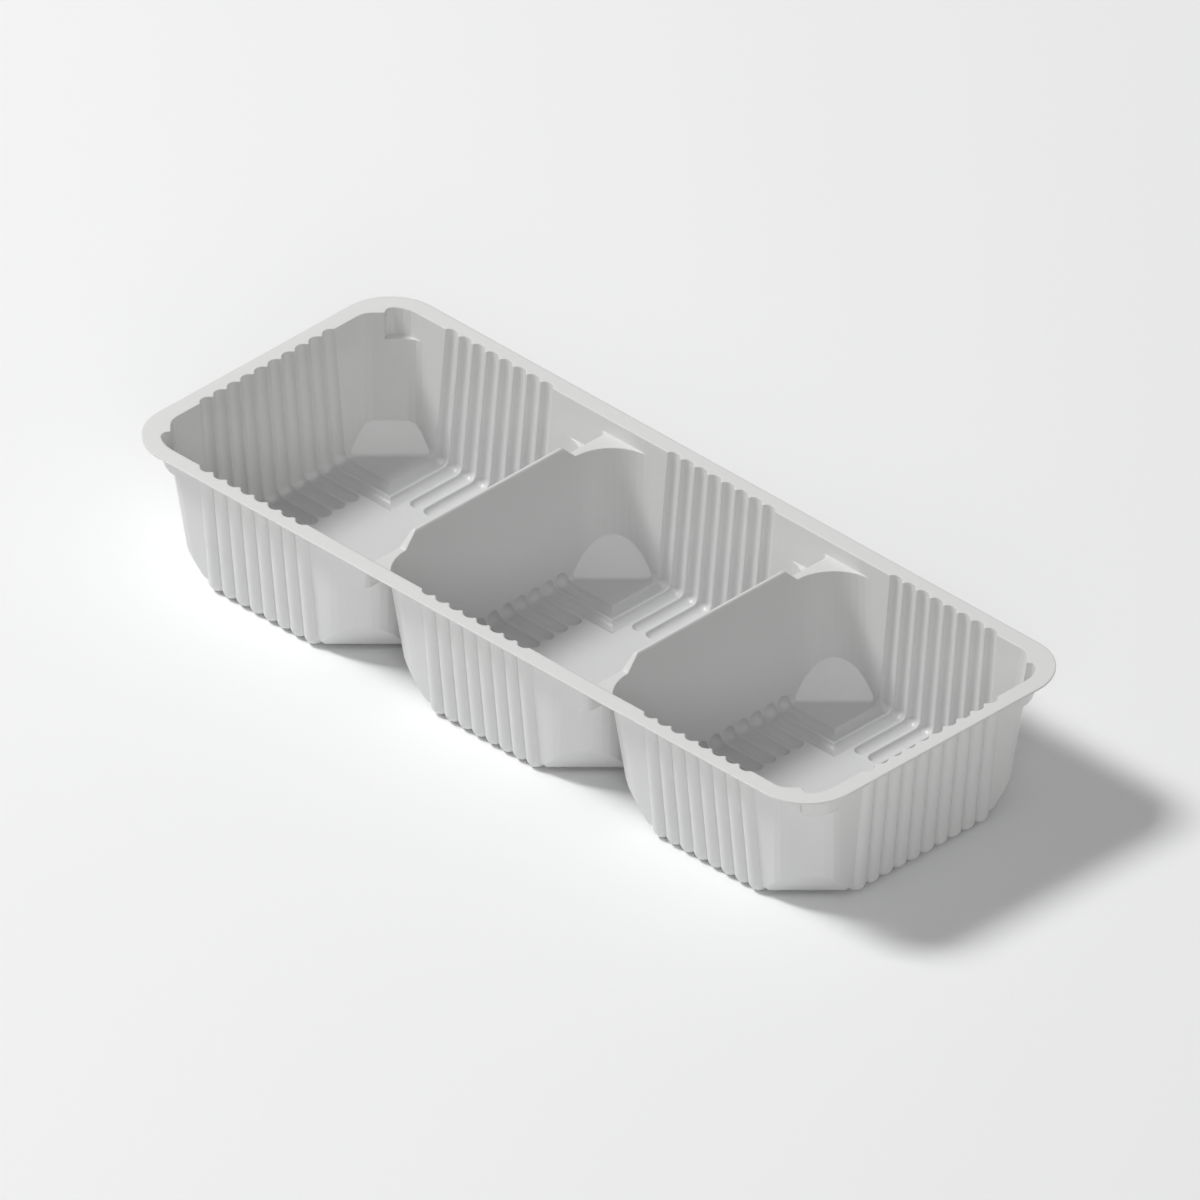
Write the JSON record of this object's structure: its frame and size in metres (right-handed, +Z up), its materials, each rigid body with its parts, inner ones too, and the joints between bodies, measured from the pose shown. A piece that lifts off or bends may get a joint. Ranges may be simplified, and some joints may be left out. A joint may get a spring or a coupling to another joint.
{
  "type": "packaging tray",
  "caption": "Thin formed tray with deep fluted compartments in a row, folded partitions with notched ends, and a flat sealing flange with rounded corners.",
  "frame": {"origin": "middle of the footprint, on the surface that the tray stands on", "axes": "+X along the row of compartments, +Y across it, +Z up out of the open compartments"},
  "size_m": [0.26, 0.1028, 0.0411],
  "materials": {
    "sheet": "satin"
  },
  "bodies": {
    "root": {"tray": "sheet"}
  },
  "joints": []
}
